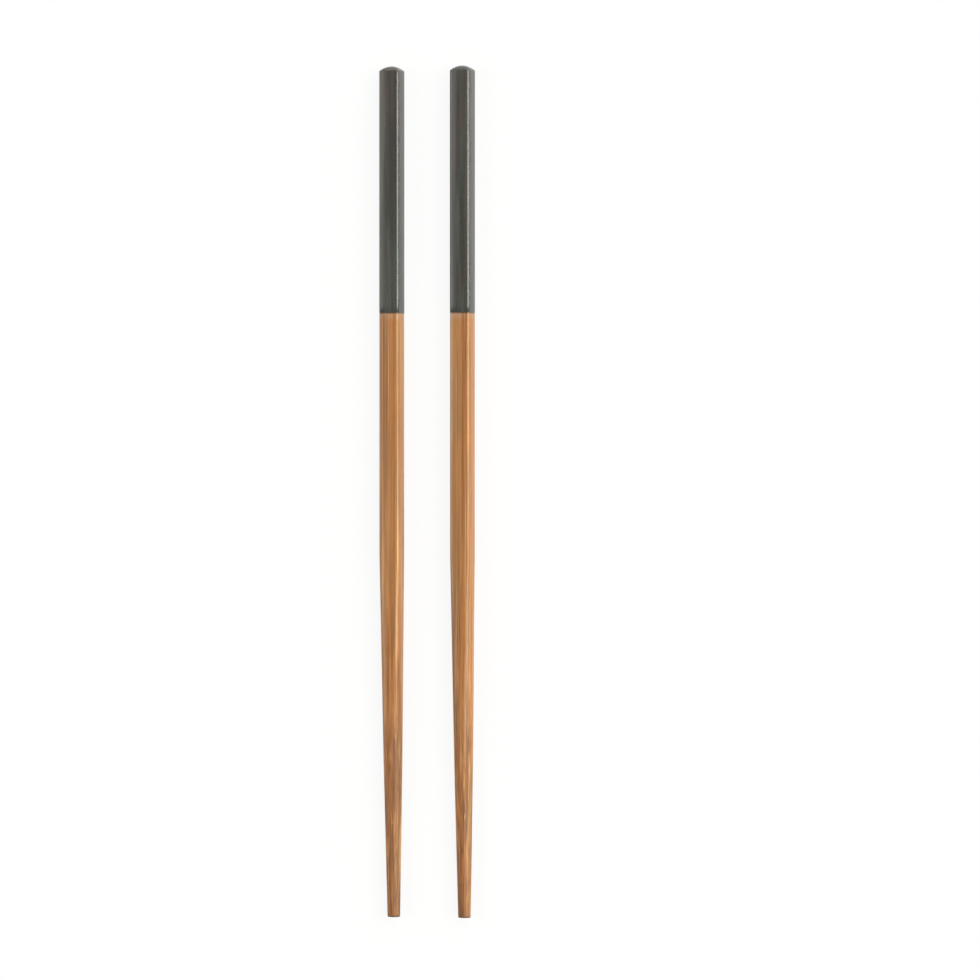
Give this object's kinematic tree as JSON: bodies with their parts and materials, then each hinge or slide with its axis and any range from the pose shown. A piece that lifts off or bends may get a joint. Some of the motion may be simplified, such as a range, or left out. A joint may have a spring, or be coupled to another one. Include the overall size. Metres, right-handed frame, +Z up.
{
  "type": "pair of bamboo chopsticks",
  "caption": "Slender bamboo chopsticks with a dark grey lacquered square handle, a low domed end and a long taper that turns from square to a round tip.",
  "frame": {"origin": "centre of the pair's footprint, at the lowest point of the handles, which is the table top", "axes": "+Y along the sticks from the tips to the painted handle ends, +X from the left stick to the right stick, +Z up from the table top"},
  "size_m": [0.027, 0.24, 0.0061],
  "materials": {
    "bamboo": "heat-browned bamboo with straight fine grain under a thin satin varnish",
    "handle_coat": "warm dark grey lacquer, satin gloss, with faint grain showing through"
  },
  "bodies": {
    "root": {"chopstick_left": "bamboo", "chopstick_right": "bamboo"}
  },
  "joints": []
}
